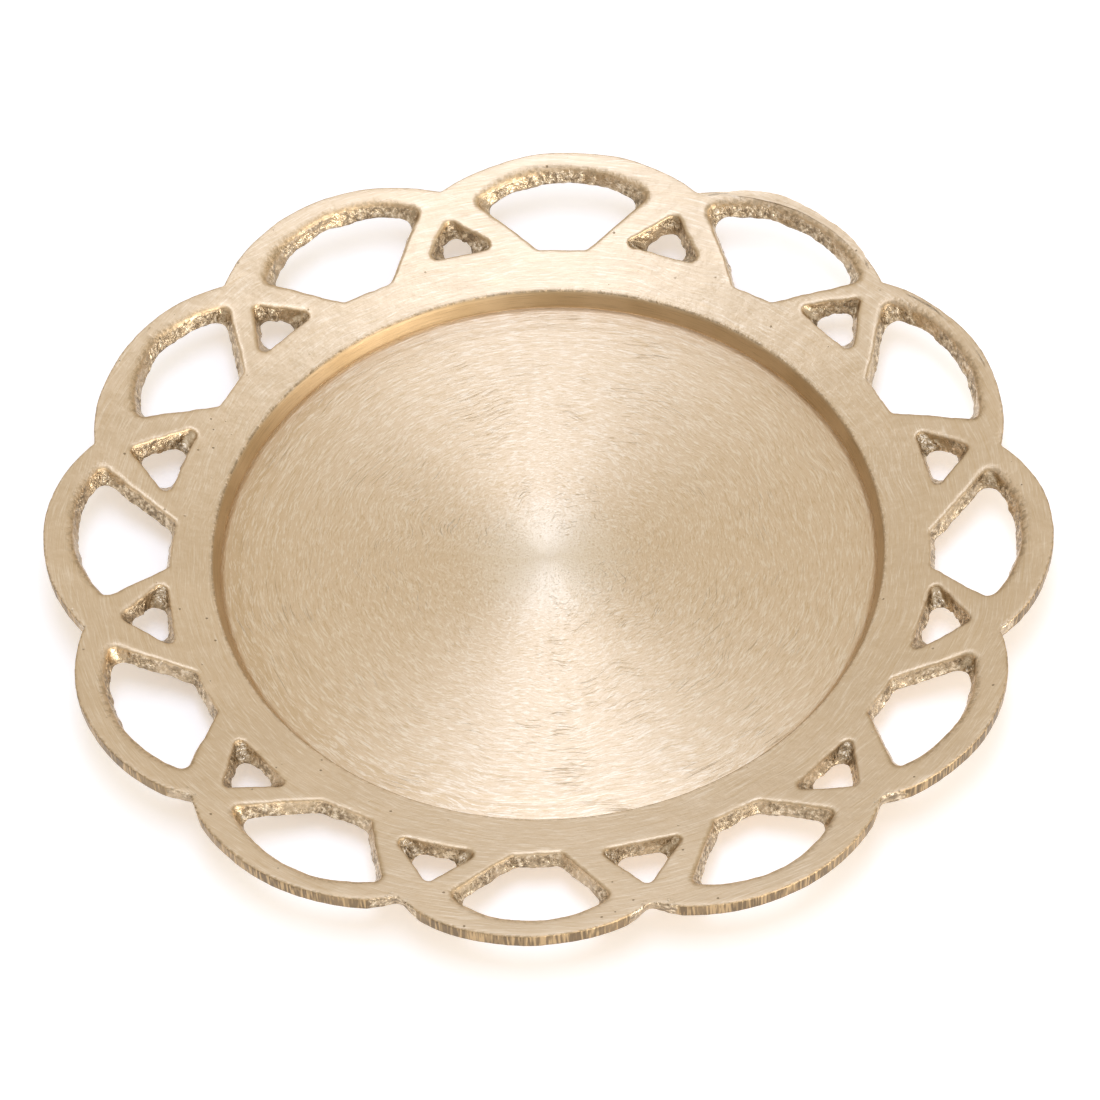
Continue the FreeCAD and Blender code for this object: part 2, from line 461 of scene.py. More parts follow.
@dataclass(frozen=True)
class RimFinish:
    """Skin of the openwork rim: brushed on top, as cast in the holes, filed outside.

    Depths in mm; the dark and lit numbers say how strongly each mark shows.
    """

    tones: BrassTones = BrassTones()
    brushed: float = 0.66
    roughness: float = 0.39
    filed_roughness: float = 0.42
    stroke_depth: float = 0.042
    grit_depth: float = 0.52
    file_depth: float = 0.13
    fine: Strokes = Strokes(8.0, 4.6, 1.0, 2.0)
    one_way: Strokes = Strokes(12.0, 3.8, 5.0, 6.0)
    other_way: Strokes = Strokes(14.0, 4.2, -5.6, 11.0)
    lit_strokes: float = 0.50
    dark_strokes: float = 0.45
    worn_and_shaded: float = 0.55
    dark_nicks: float = 0.45
    dark_burr: float = 0.45
    dark_pits: float = 0.7

    def _brushed(self, g: Graph) -> bpy.types.NodeSocket:
        """The belt-brushed top face, worn at the lips of the holes, its darker lips partly painted
        shade.

        Args:
            g: The skin's tree.

        Returns:
            The shader.
        """
        tones = self.tones
        x, y, z = g.place()
        fine, one, two = (g.strokes(k) for k in (self.fine, self.one_way, self.other_way))
        dents = g.grain(x, y, z, 0.35, 3.0, 0.6)
        cloud = g.grain(x, y, z, 0.09, 2.0, 0.5)
        pit = g.cells(x, y, 0.0, 0.42).ramp(0.085, 0.05) * cloud.ramp(0.46, 0.56)
        light = (one.ramp(0.53, 0.69) + two.ramp(0.54, 0.70)).clamped()
        dark = (fine.ramp(0.46, 0.32) + two.ramp(0.44, 0.30)).clamped()
        worn = g.attribute("worn")
        sand = g.grain(x, y, z, 1.5, 3.0, 0.6)
        nick = worn * sand.ramp(0.52, 0.42)
        burr = g.attribute("burr") * g.grain(x, y, z, 0.8, 3.0, 0.6).ramp(0.42, 0.56)
        burr = burr * ((y - x * 0.6).ramp(-10.0, 40.0) * 0.85 + 0.15)
        tone = g.mix((cloud - 0.35) * 1.3, tones.belted, tones.brushed)
        for mark, colour in ((light * self.lit_strokes, tones.bright),
                             (dark * self.dark_strokes, tones.golden),
                             # Worn lips go darker: partly real wear, partly painted shade that
                             # dulls the lip's glint.
                             (worn * self.worn_and_shaded, tones.golden),
                             (nick * self.dark_nicks, tones.tarnish),
                             (burr * self.dark_burr, tones.tarnish),
                             (pit * self.dark_pits, tones.tarnish)):
            tone = g.mix(mark, tone, colour)
        rough = (fine - 0.5) * 0.3 + self.roughness + worn * 0.20
        height = fine * 0.5 + one * 0.45 + two * 0.45 + dents * 1.8 - pit * 1.5 - burr * 1.2
        height = height + sand * worn * 6.0
        return g.metal(tone, rough, g.bump(height, self.stroke_depth), self.brushed)

    def _cast(self, g: Graph) -> bpy.types.NodeSocket:
        """The granular wall left by the sand.

        Args:
            g: The skin's tree.

        Returns:
            The shader.
        """
        tones = self.tones
        x, y, z = g.place()
        grit = g.grain(x, y, z, 1.5, 3.0, 0.6)
        fine = g.grain(x, y, z, 3.4, 2.0, 0.6)
        broad = g.grain(x, y, z, 0.24, 2.0, 0.5)
        rough = 1.0 - broad.ramp(0.44, 0.60) * 0.75
        # Painted shade: darker in the grit's pits and towards the bottom of the wall.
        shade = (grit.ramp(0.51, 0.38) * 0.65 * rough + g.attribute("deep") * 0.20).clamped()
        tone = g.mix(shade, tones.cast, tones.crevice_shade)
        # Painted glints: the grit's peaks are lightened towards the bright tone.
        tone = g.mix(grit.ramp(0.54, 0.60) * (rough * 0.7 + 0.3), tone, tones.bright)
        normal = g.bump((grit + fine * 0.3) * rough, self.grit_depth)
        return g.metal(tone, fine * 0.24 + 0.18, normal)

    def _filed(self, g: Graph) -> bpy.types.NodeSocket:
        """The outer edge, with upright file marks, its brass darkened as painted shade.

        Args:
            g: The skin's tree.

        Returns:
            The shader.
        """
        tones = self.tones
        x, y, z = g.place()
        lines = g.grain(x, y, z * 0.06, 3.5, 0.0, 0.5)
        fine = g.grain(x, y, z * 0.25, 6.0, 2.0, 0.5)
        broad = g.grain(x, y, z, 0.16, 2.0, 0.5)
        # The filed tone is painted shade on the outer edge.
        tone = g.mix(lines.ramp(0.52, 0.43) * 0.80, tones.filed, tones.crevice_shade)
        tone = g.mix(lines.ramp(0.57, 0.65) * 0.70, tone, tones.golden)
        tone = g.mix(broad.ramp(0.45, 0.7) * 0.30, tone, tones.golden)
        normal = g.bump(lines * 0.9 + fine * 0.4, self.file_depth)
        return g.metal(tone, self.filed_roughness, normal)

    def material(self) -> bpy.types.Material:
        """Build the skin, each finish masked by what the mesh stores.

        Returns:
            The material.
        """
        g = Graph.of_material("rim_brass")
        x, y, z = g.place()
        ragged = g.grain(x, y, z, 1.2, 4.0, 0.65) - 0.5
        cast = (g.attribute("cast") + ragged * 1.3).ramp(0.24, 0.62)
        filed = (g.attribute("filed") + ragged * 0.3).ramp(0.40, 0.60)
        skin = g.blend(filed, self._brushed(g), self._filed(g))
        return g.finish(g.blend(cast, skin, self._cast(g)))


@dataclass(frozen=True)
class WallFinish:
    """Turned wall of the well, smoother, its gold darkened as painted shade."""

    tones: BrassTones = BrassTones()
    roughness: float = 0.52
    line_depth: float = 0.02

    def material(self) -> bpy.types.Material:
        """Build the turned wall's brass.

        Returns:
            The material.
        """
        g = Graph.of_material("turned_wall_brass")
        x, y, z = g.place()
        lines = g.grain(x * 0.2, y * 0.2, z * 9.0, 1.0, 2.0, 0.6)
        broad = g.grain(x, y, z * 0.3, 0.12, 2.0, 0.5)
        # Painted shade: the wall's darker gold.
        tone = g.mix(broad.ramp(0.35, 0.65) * 0.3, self.tones.shaded_wall_gold, self.tones.turned)
        tone = g.mix(lines.ramp(0.5, 0.7) * 0.3, tone, self.tones.tarnish)
        return g.finish(g.metal(tone, self.roughness, g.bump(lines, self.line_depth)))


@dataclass(frozen=True)
class UndersideFinish:
    """Turned underside of the base and sand-cast back of the rim."""

    tones: BrassTones = BrassTones()
    roughness: float = 0.38
    relief_depth: float = 0.12

    def material(self) -> bpy.types.Material:
        """Build the underside's brass.

        Returns:
            The material.
        """
        g = Graph.of_material("underside_brass")
        x, y, z = g.place()
        rings = g.grain(g.radius() * 3.0, 0.0, 1.0, 1.0, 2.0, 0.6)
        fine = g.grain(x, y, z, 2.6, 3.0, 0.6)
        broad = g.grain(x, y, z, 0.12, 2.0, 0.5)
        cast = g.attribute("cast")
        tone = g.mix(broad.ramp(0.4, 0.65) * 0.5, self.tones.brushed, self.tones.golden)
        tone = g.mix(cast * 0.6, tone, self.tones.cast)
        relief = rings * 0.12 * (1.0 - cast) + fine * (cast * 0.8 + 0.05)
        return g.finish(g.metal(tone, cast * 0.12 + self.roughness,
                                g.bump(relief, self.relief_depth)))


@dataclass(frozen=True)
class TableFinish:
    """Plain pale surface under the tray, lit a little from below."""

    colour: RGB = (0.95, 0.93, 0.90)
    roughness: float = 0.9
    glow: float = 0.26

    def material(self) -> bpy.types.Material:
        """Build the pale floor.

        Returns:
            The material.
        """
        g = Graph.of_material("pale_floor")
        shader = g.node("ShaderNodeBsdfPrincipled", None, {
            "Base Color": rgba(self.colour), "Roughness": self.roughness,
            "Emission Color": (1.0, 1.0, 1.0, 1.0), "Emission Strength": self.glow})
        return g.finish(shader.outputs[0])


# ---- outlines --------------------------------------------------------------
def unit(v: np.ndarray) -> np.ndarray:
    """A vector scaled to length 1."""
    return v / np.linalg.norm(v)


def bearing(centre: np.ndarray, point: np.ndarray) -> float:
    """Angle at which a point is seen from a centre."""
    return math.atan2(*(point - centre)[::-1])


def short_turn(start: float, end: float) -> float:
    """Turn from one angle to another, the short way round."""
    return (end - start + math.pi) % TURN - math.pi


def sweep(centre: np.ndarray, radius: float, start: float, turn: float,
          count: int) -> np.ndarray:
    """Points along an arc, without its end.

    Args:
        centre: The arc's centre.
        radius: Its radius.
        start: Angle of its first point.
        turn: How far it turns, counter-clockwise.
        count: How many points.

    Returns:
        The points.
    """
    t = start + turn * np.arange(count) / count
    return centre + radius * np.stack([np.cos(t), np.sin(t)], -1)


@dataclass
class Line:
    """Straight side of a hole, its inward normal on the left."""

    start: np.ndarray
    end: np.ndarray

    def normal(self) -> np.ndarray:
        """Unit vector pointing into the hole."""
        d = unit(self.end - self.start)
        return np.array([-d[1], d[0]])

    def touch(self, centre: np.ndarray, inset: float) -> np.ndarray:
        """Where a rounding circle touches this side drawn in by inset."""
        n = self.normal()
        return centre - n * (np.dot(centre - self.start, n) - inset)

    def run(self, a: np.ndarray, b: np.ndarray, count: int, inset: float) -> np.ndarray:
        """Points along the side from a towards b, without b."""
        t = np.arange(count)[:, None] / count
        return a + (b - a) * t


@dataclass
class Arc:
    """Curved side of a hole, seen from inside the circle."""

    centre: np.ndarray
    radius: float

    def touch(self, centre: np.ndarray, inset: float) -> np.ndarray:
        """Where a rounding circle touches this side drawn in by inset."""
        return self.centre + unit(centre - self.centre) * (self.radius - inset)

    def run(self, a: np.ndarray, b: np.ndarray, count: int, inset: float) -> np.ndarray:
        """Points along the side from a towards b, without b.

        Args:
            a: Where they start.
            b: Where they would end.
            count: How many points.
            inset: How far into the hole the side is drawn.

        Returns:
            The points.
        """
        start = bearing(self.centre, a)
        turn = short_turn(start, bearing(self.centre, b))
        return sweep(self.centre, self.radius - inset, start, turn, count)


def circle_through(a: np.ndarray, b: np.ndarray, c: np.ndarray) -> Arc:
    """The circle through three points.

    Args:
        a, b, c: The points.

    Returns:
        The circle.
    """
    m = 2.0 * np.array([b - a, c - a])
    rhs = np.array([b @ b - a @ a, c @ c - a @ a])
    centre = np.linalg.solve(m, rhs)
    return Arc(centre, float(np.linalg.norm(a - centre)))


def rounding_centre(one: Union[Line, Arc], two: Union[Line, Arc], depth: float) -> np.ndarray:
    """Centre of the circle that rounds the corner between two sides.

    Args:
        one: The side before the corner.
        two: The side after it.
        depth: How far the centre is from both sides.

    Returns:
        The centre.
    """
    if isinstance(one, Line) and isinstance(two, Line):
        n = np.array([one.normal(), two.normal()])
        return np.linalg.solve(n, np.array([n[0] @ one.start + depth, n[1] @ two.start + depth]))
    line, arc = (one, two) if isinstance(one, Line) else (two, one)
    n = line.normal()
    base = line.start + n * depth
    d = unit(line.end - line.start)
    foot = base + d * np.dot(arc.centre - base, d)
    span = math.sqrt(max((arc.radius - depth) ** 2 - np.sum((foot - arc.centre) ** 2), 0.0))
    return foot + d * span * (1.0 if line is one else -1.0)


@dataclass
class Hole:
    """A rounded hole that can be drawn at any inset with matching points."""

    SIDE_LENGTH = 1.04
    CORNER_LENGTH = 1.4
    sides: List[Union[Line, Arc]]
    corner_radius: float
    step: float

    def __post_init__(self) -> None:
        """Fix how many points each side and corner has."""
        self.counts: List[Tuple[int, int]] = []
        corners = self._corners(self.corner_radius)
        bend = int(self.CORNER_LENGTH * self.corner_radius / self.step) + 2
        for i, side in enumerate(self.sides):
            chord = side.touch(corners[i], 0.0) - side.touch(corners[i - 1], 0.0)
            length = float(np.linalg.norm(chord)) * self.SIDE_LENGTH
            self.counts.append((max(3, int(length / self.step)), max(4, bend)))

    def _corners(self, depth: float) -> List[np.ndarray]:
        """Centres that lie at a depth from both sides of every corner."""
        n = len(self.sides)
        return [rounding_centre(self.sides[i], self.sides[(i + 1) % n], depth) for i in range(n)]

    def loop(self, inset: float, rounder: float = 0.0) -> np.ndarray:
        """The outline drawn into the hole, counter-clockwise.

        Args:
            inset: How far into the hole.
            rounder: How much larger its corners' radius is.

        Returns:
            The points.
        """
        radius = self.corner_radius + rounder
        corners = self._corners(inset + radius)
        points = []
        for i, (side, corner) in enumerate(zip(self.sides, corners)):
            a, b = side.touch(corners[i - 1], inset), side.touch(corner, inset)
            points.append(side.run(a, b, self.counts[i][0], inset))
            after = self.sides[(i + 1) % len(self.sides)].touch(corner, inset)
            start = bearing(corner, b)
            turn = (bearing(corner, after) - start) % TURN
            points.append(sweep(corner, radius, start, turn, self.counts[i][1]))
        return np.concatenate(points)


def normals_of(loop: np.ndarray) -> np.ndarray:
    """Unit normals of a loop.

    Args:
        loop: The loop, counter-clockwise.

    Returns:
        The normals, pointing to its inside.
    """
    d = np.roll(loop, -1, 0) - np.roll(loop, 1, 0)
    d /= np.linalg.norm(d, axis=1)[:, None]
    return np.stack([-d[:, 1], d[:, 0]], -1)


def turned(points: np.ndarray, angle: float) -> np.ndarray:
    """Points turned about the axis.

    Args:
        points: Places in plan.
        angle: How far, from +Y towards +X.

    Returns:
        The turned points.
    """
    c, s = math.cos(angle), math.sin(angle)
    return np.stack([points[:, 0] * c + points[:, 1] * s,
                     -points[:, 0] * s + points[:, 1] * c], -1)


def wander(points: np.ndarray, scale: float, seed: float) -> np.ndarray:
    """Smooth noise, -1 to 1, at 3-D points.

    Args:
        points: Places in mm.
        scale: Features per mm.
        seed: Offset that picks another pattern.

    Returns:
        One number for each point.
    """
    shift = Vector((seed, seed * 0.7, -seed))
    return np.array([noise.noise(Vector(p) * scale + shift) for p in points])


def uneven(points: np.ndarray, *layers: Noise) -> np.ndarray:
    """The unevenness of hand work.

    Args:
        points: Places in mm.
        layers: Amount in mm, features per mm and seed of each noise.

    Returns:
        The sum of the noises at each point, in mm.
    """
    return sum(amount * wander(points, scale, seed) for amount, scale, seed in layers)


@dataclass(frozen=True)
class Hand:
    """How far one scallop strays from the pattern, to half a millimetre.

    Each pair is (clockwise, outward).  The corners are those of the large hole,
    crown and edge are the arch's inner and outer height at its middle.
    """

    outer_left: XY = (0.0, 0.0)
    inner_left: XY = (0.0, 0.0)
    inner_right: XY = (0.0, 0.0)
    outer_right: XY = (0.0, 0.0)
    crown: float = 0.0
    edge: float = 0.0


@dataclass(frozen=True)
class Joint:
    """How far the junction after a scallop strays, and its rough groove."""

    notch: XY = (0.0, 0.0)
    base_left: XY = (0.0, 0.0)
    apex: XY = (0.0, 0.0)
    base_right: XY = (0.0, 0.0)
    groove: float = 0.0


HANDS: Tuple[Hand, ...] = (
    Hand((-0.5, 0.0), (0.5, 0.5), (0.5, 0.5), (1.0, 1.0), 1.0, 0.0),
    Hand((0.0, 1.5), (2.0, 0.0), (1.0, 0.0), (2.5, 0.5), 1.5, -1.0),
    Hand((-1.5, 0.5), (0.0, 0.0), (0.0, 0.0), (0.0, 1.0), 0.5, -1.0),
    Hand((-0.5, 0.0), (1.5, 0.0), (0.5, 0.0), (-1.0, 0.0), 0.0, 0.5),
    Hand((0.0, 0.0), (0.0, 0.0), (-0.5, 0.0), (-1.5, 0.5), -0.5, 0.0),
    Hand((0.5, -0.5), (0.0, 0.0), (-0.5, 0.0), (-0.5, 0.5), 0.0, 0.0),
    Hand((1.5, 0.0), (0.0, 0.0), (-0.5, 0.5), (-0.5, 0.0), 0.0, -0.5),
    Hand((0.0, 0.0), (-1.0, -0.5), (-0.5, 0.0), (0.5, 0.0), 0.0, -0.5),
    Hand((0.5, 0.5), (0.0, 0.0), (0.5, -0.5), (1.0, 0.0), 0.5, 0.5),
    Hand((1.0, -0.5), (-1.0, -0.5), (0.0, -1.0), (0.0, 1.5), 0.5, 0.5),
    Hand((1.0, 0.0), (1.0, 0.0), (1.0, 0.5), (0.5, 0.0), 0.5, -0.5),
    Hand((-1.5, -0.5), (-1.0, 0.0), (-0.5, 0.0), (0.5, 0.5), 1.0, 0.0),
)
JOINTS: Tuple[Joint, ...] = (
    Joint((3.0, 0.0), (0.5, 1.0), (1.0, 0.5), (0.5, 0.5), 0.2),
    Joint((0.5, -0.5), (0.0, 0.5), (0.0, 0.5), (-0.5, 0.0), 0.1),
    Joint((1.0, -0.5), (-0.5, 0.5), (-0.5, 0.0), (-1.0, 0.5), 0.1),
    Joint((0.0, -0.5), (-1.5, -0.5), (-1.5, -0.5), (0.0, -0.5), 0.3),
    Joint((-1.0, -0.5), (-0.5, -0.5), (-0.5, 0.0), (0.0, 0.5), 0.5),
    Joint((1.0, -0.5), (-0.5, -0.5), (0.5, 0.5), (-0.5, -0.5), 0.9),
    Joint((1.5, -0.5), (-0.5, -0.5), (-1.5, 0.0), (-0.5, 0.0), 0.9),
    Joint((1.0, 0.0), (0.0, 0.0), (-0.5, 0.0), (-0.5, -1.0), 0.6),
    Joint((0.0, 0.0), (1.0, 0.0), (1.5, -0.5), (1.0, -1.0), 0.2),
    Joint((-1.5, 0.5), (0.0, 0.0), (-0.5, 0.5), (1.0, -0.5), 0.1),
    Joint((-2.0, 0.0), (0.0, -0.5), (-1.0, -0.5), (-1.0, 0.0), 0.1),
    Joint((-0.5, -0.5), (1.0, 0.5), (-0.5, -0.5), (-0.5, 0.5), 0.1),
)


@dataclass(frozen=True)
class RimPlan:
    """Sizes of the casting, the same as the solids, in mm."""

    tray_radius: float = 70.0
    well_radius: float = 47.0
    well_depth: float = 2.4
    wall_taper: float = 0.95
    floor: float = 2.0
    base_radius: float = 48.6
    base_break: float = 0.4
    thickness: float = 2.5
    slope: float = 0.19
    notch_radius: float = 65.95
    notch_fillet: float = 0.8
    notch_points: int = 8
    groove_reach: float = 4.0
    flat: XY = (3.6, 53.3)
    corner: XY = (12.1, 61.6)
    crown: float = 66.2
    base: XY = (6.35, 54.0)
    apex: float = 61.5
    draft: float = 0.75
    hole_corner: float = 1.15
    triangle_corner: float = 0.85
    step: float = 0.40

    @property
    def well_foot(self) -> float:
        """Radius of the well's wall at the floor."""
        return self.well_radius - self.wall_taper

    def top(self, points: np.ndarray) -> np.ndarray:
        """Height of the rim's top face at points in plan."""
        r = np.hypot(points[:, 0], points[:, 1])
        return self.floor + self.well_depth + self.slope * (r - self.well_radius)

    def below(self, loop: np.ndarray, drop: Union[float, np.ndarray]) -> np.ndarray:
        """Points of a loop at a depth below the top face."""
        return np.column_stack([loop, self.top(loop) - drop])

    def large_hole(self, hand: Hand) -> Hole:
        """The large hole of a scallop on +Y.

        Args:
            hand: How this one strays.

        Returns:
            The hole.
        """
        (fx, fy), (cx, cy) = self.flat, self.corner
        il, ir = np.array([-fx, fy]) + hand.inner_left, np.array([fx, fy]) + hand.inner_right
        ol, orr = np.array([-cx, cy]) + hand.outer_left, np.array([cx, cy]) + hand.outer_right
        arch = circle_through(orr, np.array([(ol[0] + orr[0]) * 0.5, self.crown + hand.crown]), ol)
        return Hole([Line(il, ir), Line(ir, orr), arch, Line(ol, il)], self.hole_corner, self.step)

    def triangle(self, joint: Joint) -> Hole:
        """The small triangle of a junction on +Y.

        Args:
            joint: How this one strays.

        Returns:
            The hole.
        """
        left = np.array([-self.base[0], self.base[1]]) + joint.base_left
        right = np.array(self.base) + joint.base_right
        apex = np.array([0.0, self.apex]) + joint.apex
        return Hole([Line(left, right), Line(right, apex), Line(apex, left)],
                    self.triangle_corner, self.step)

    def _scallops(self) -> Tuple[List[np.ndarray], List[Arc]]:
        """The outer corners of the outline.

        Returns:
            The notch after each scallop, and each scallop's arc.
        """
        notches = [turned(np.array([[j.notch[0], self.notch_radius + j.notch[1]]]),
                          (k + 0.5) * SECTOR)[0] for k, j in enumerate(JOINTS)]
        tops = [turned(np.array([[0.0, self.tray_radius + h.edge]]), k * SECTOR)[0]
                for k, h in enumerate(HANDS)]
        return notches, [circle_through(notches[k - 1], tops[k], notches[k])
                         for k in range(SCALLOPS)]

    def outline(self) -> Tuple[np.ndarray, np.ndarray]:
        """The scalloped outer outline.

        Returns:
            The loop, counter-clockwise, and how near each point is to a notch
            times that notch's groove.
        """
        notches, arcs = self._scallops()
        points = []
        for k in range(SCALLOPS - 1, -1, -1):
            here, after = arcs[k], arcs[k - 1]
            entry = self._fillet(here, arcs[(k + 1) % SCALLOPS], notches[k])
            leave = self._fillet(here, after, notches[k - 1])
            end = here.touch(leave, 0.0)
            start = bearing(here.centre, here.touch(entry, 0.0))
            turn = (bearing(here.centre, end) - start) % TURN
            count = int(turn * here.radius / self.step)
            points.append(sweep(here.centre, here.radius, start, turn, count))
            start = bearing(leave, end)
            turn = short_turn(start, bearing(leave, after.touch(leave, 0.0)))
            points.append(sweep(leave, self.notch_fillet, start, turn, self.notch_points))
        loop = np.concatenate(points)
        groove = np.zeros(len(loop))
        for notch, joint in zip(notches, JOINTS):
            far = np.linalg.norm(loop - notch, axis=1)
            groove += np.clip(1.0 - far / self.groove_reach, 0.0, 1.0) * joint.groove
        return loop, groove

    def _fillet(self, one: Arc, two: Arc, near: np.ndarray) -> np.ndarray:
        """Centre of the small arc that softens a notch.

        Args:
            one: The scallop's arc on one side.
            two: The arc on the other.
            near: The notch.

        Returns:
            The centre, outside both arcs.
        """
        r1, r2 = one.radius + self.notch_fillet, two.radius + self.notch_fillet
        gap = two.centre - one.centre
        d = float(np.linalg.norm(gap))
        along = (d * d + r1 * r1 - r2 * r2) / (2.0 * d)
        across = math.sqrt(max(r1 * r1 - along * along, 0.0))
        e = gap / d
        n = np.array([-e[1], e[0]])
        both = [one.centre + e * along + n * across * s for s in (-1.0, 1.0)]
        return min(both, key=lambda p: float(np.linalg.norm(p - near)))


# ---- meshes ----------------------------------------------------------------
class Skin:
    """Collects points, faces, finishes and masks for one closed mesh."""

    MASKS = ("cast", "filed", "deep", "worn", "burr")

    def __init__(self) -> None:
        """Start empty."""
        self.points: List[np.ndarray] = []
        self.count = 0
        self.faces: List[Tuple[int, ...]] = []
        self.slots: List[int] = []
        self.masks: Dict[str, List[np.ndarray]] = {name: [] for name in self.MASKS}

    def add(self, points: np.ndarray, **masks: Union[float, np.ndarray]) -> np.ndarray:
        """Add points.

        Args:
            points: Places in mm.
            masks: Mask name to one number or one for each point.

        Returns:
            Their indices.
        """
        n = len(points)
        self.points.append(np.asarray(points, float))
        for name in self.MASKS:
            self.masks[name].append(np.broadcast_to(masks.get(name, 0.0), (n,)).astype(float))
        first = self.count
        self.count += n
        return np.arange(first, first + n)

    def band(self, low: np.ndarray, high: np.ndarray, slot: int) -> None:
        """Join two closed loops of equal length with quads.

        Args:
            low: Indices of one loop, counter-clockwise from above.
            high: Indices of the other, outside or above it.
            slot: Which finish.
        """
        a, b = np.roll(low, -1), np.roll(high, -1)
        for quad in zip(low.tolist(), a.tolist(), b.tolist(), high.tolist()):
            self.faces.append(quad)
        self.slots.extend([slot] * len(low))

    def fill(self, faces: Sequence[Sequence[int]], slot: int) -> None:
        """Add faces."""
        self.faces.extend(tuple(f) for f in faces)
        self.slots.extend([slot] * len(faces))

    def build(self, name: str, materials: Sequence[bpy.types.Material]) -> bpy.types.Object:
        """Make the object.

        Args:
            name: The piece's name.
            materials: The finishes in slot order.

        Returns:
            The new object, linked to the scene.
        """
        mesh = bpy.data.meshes.new(name)
        places = np.concatenate(self.points) * MM
        mesh.from_pydata(places.tolist(), [], self.faces)
        for material in materials:
            mesh.materials.append(material)
        mesh.polygons.foreach_set("material_index", self.slots)
        mesh.polygons.foreach_set("use_smooth", [True] * len(self.faces))
        for mask, parts in self.masks.items():
            layer = mesh.attributes.new(mask, "FLOAT", "POINT")
            layer.data.foreach_set("value", np.concatenate(parts))
        mesh.validate()
        mesh.update()
        made = bpy.data.objects.new(name, mesh)
        bpy.context.scene.collection.objects.link(made)
        return made


def inside(loop: np.ndarray, points: np.ndarray) -> np.ndarray:
    """Which points are inside a closed loop.

    Args:
        loop: The loop.
        points: Places in plan.

    Returns:
        True for each point inside.
    """
    result = np.zeros(len(points), bool)
    low, high = loop.min(0), loop.max(0)
    near = np.all((points >= low) & (points <= high), axis=1)
    p = points[near]
    a, b = loop, np.roll(loop, -1, 0)
    odd = np.zeros(len(p), bool)
    for (x0, y0), (x1, y1) in zip(a, b):
        if y0 == y1:
            continue
        cross = (y0 > p[:, 1]) != (y1 > p[:, 1])
        odd ^= cross & (p[:, 0] < (x1 - x0) * (p[:, 1] - y0) / (y1 - y0) + x0)
    result[near] = odd
    return result


class Slot(Enum):
    """Finishes of the rim's skin."""

    RIM = 0
    WALL = 1
    UNDER = 2


@dataclass(frozen=True)
class HoleLip:
    """Hand-worn lip of a hole, softer on the outer side of a large one, in mm."""

    inset: float = 0.12
    width: float = 0.66
    soft_width: float = 1.00
    depth: float = 0.50
    soft_depth: float = 0.42
    soft_from: float = 58.5
    soft_over: float = 5.0
    soft_mean: float = 0.75
    half_turns: float = 0.43
    rows: int = 6
    cast: float = 0.42
    wear: float = 0.32
    soft_wear: float = 0.60
    wear_peak: float = 6.0
    drift: Tuple[Noise, ...] = ((0.17, 0.22, 3.0), (0.10, 0.7, 9.0), (0.05, 1.6, 13.0))
    soft_drift: Noise = (0.6, 0.10, 15.0)
    width_drift: Noise = (0.15, 0.5, 17.0)


@dataclass(frozen=True)
class HoleWall:
    """Tapered wall of a hole as the sand left it, in mm."""

    rows: int = 7
    foot: float = 0.12
    foot_break: float = 0.10
    rounder: float = 0.65
    onset: float = 3.0
    rough: Tuple[Noise, ...] = ((0.07, 1.1, 5.0), (0.05, 2.2, 8.0))
    ragged: Tuple[Noise, ...] = ((0.30, 0.30, 21.0), (0.07, 1.3, 27.0))


@dataclass(frozen=True)
class OuterEdge:
    """Filed outer edge with a rounded shoulder, in mm."""

    shoulder: float = 0.50
    shoulder_rows: int = 5
    rows: int = 5
    taper: float = 0.10
    foot: float = 0.15
    foot_break: float = 0.25
    cut_at_top: float = 0.35
    groove_cast: float = 3.2
    cast_at_top: float = 0.25
    cut_drift: Noise = (0.30, 0.9, 51.0)
    ripple: Noise = (0.035, 1.7, 61.0)
    upright: Tuple[float, float, float] = (1.0, 1.0, 0.12)
    drift: Tuple[Noise, ...] = ((0.14, 0.15, 41.0), (0.05, 0.8, 43.0))

    def levels(self, thickness: float, collar: float) -> List[Tuple[float, float, float, float]]:
        """The rows of points from the top face to the underside.

        Args:
            thickness: The rim's thickness.
            collar: Width of the flat strip inside the shoulder.

        Returns:
            Inset, depth below the top, filed mask and depth share of each row.
        """
        rows = [(self.shoulder + collar, 0.0, 0.0, 0.0)]
        for i in range(self.shoulder_rows + 1):
            t = math.pi / 2 * i / self.shoulder_rows
            rows.append((self.shoulder * (1.0 - math.sin(t)),
                         self.shoulder * (1.0 - math.cos(t)), (i / self.shoulder_rows) ** 2, 0.0))
        height = thickness - self.foot - self.shoulder
        for i in range(1, self.rows + 1):
            u = i / self.rows
            rows.append((self.taper * u, self.shoulder + height * u, 1.0, u))
        return rows + [(self.foot_break, thickness, 1.0, 1.0)]


@dataclass(frozen=True)
class FaceMesh:
    """How the top and the underside are filled, in mm."""

    grid: float = 1.05
    margin: float = 2.0
    jitter: float = 0.25
    clear: float = 0.45
    merge: float = 1e-7
    seed: int = 7
    top_drift: Noise = (0.03, 0.12, 71.0)
    back_drift: Noise = (0.10, 0.35, 71.0)
    back_cast: float = 0.9


